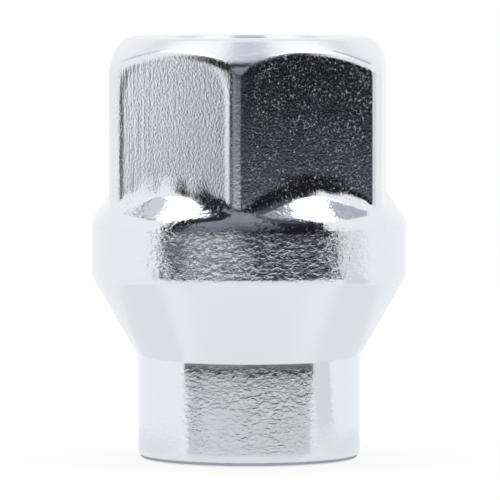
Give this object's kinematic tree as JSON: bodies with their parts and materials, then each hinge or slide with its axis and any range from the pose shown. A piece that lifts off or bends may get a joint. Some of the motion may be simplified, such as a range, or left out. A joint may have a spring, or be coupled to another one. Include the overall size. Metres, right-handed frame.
{
  "type": "lug nut",
  "caption": "Chrome lug nut: hexagon head rising from a round collar over a conical seat and a plain shank, with an open stud thread right through; it clamps a wheel to its hub.",
  "frame": {"origin": "centre of the shank's end face, on the thread's axis", "axes": "+Z along the thread's axis from the shank towards the hexagon; -Y through one corner of the hexagon"},
  "size_m": [0.024, 0.024, 0.0322],
  "materials": {
    "chrome_plate": "bright chrome plate over cold-forged steel, with fine grain on the flats and turning marks on the round surfaces"
  },
  "bodies": {
    "root": {"lug_nut": "chrome_plate"}
  },
  "joints": []
}
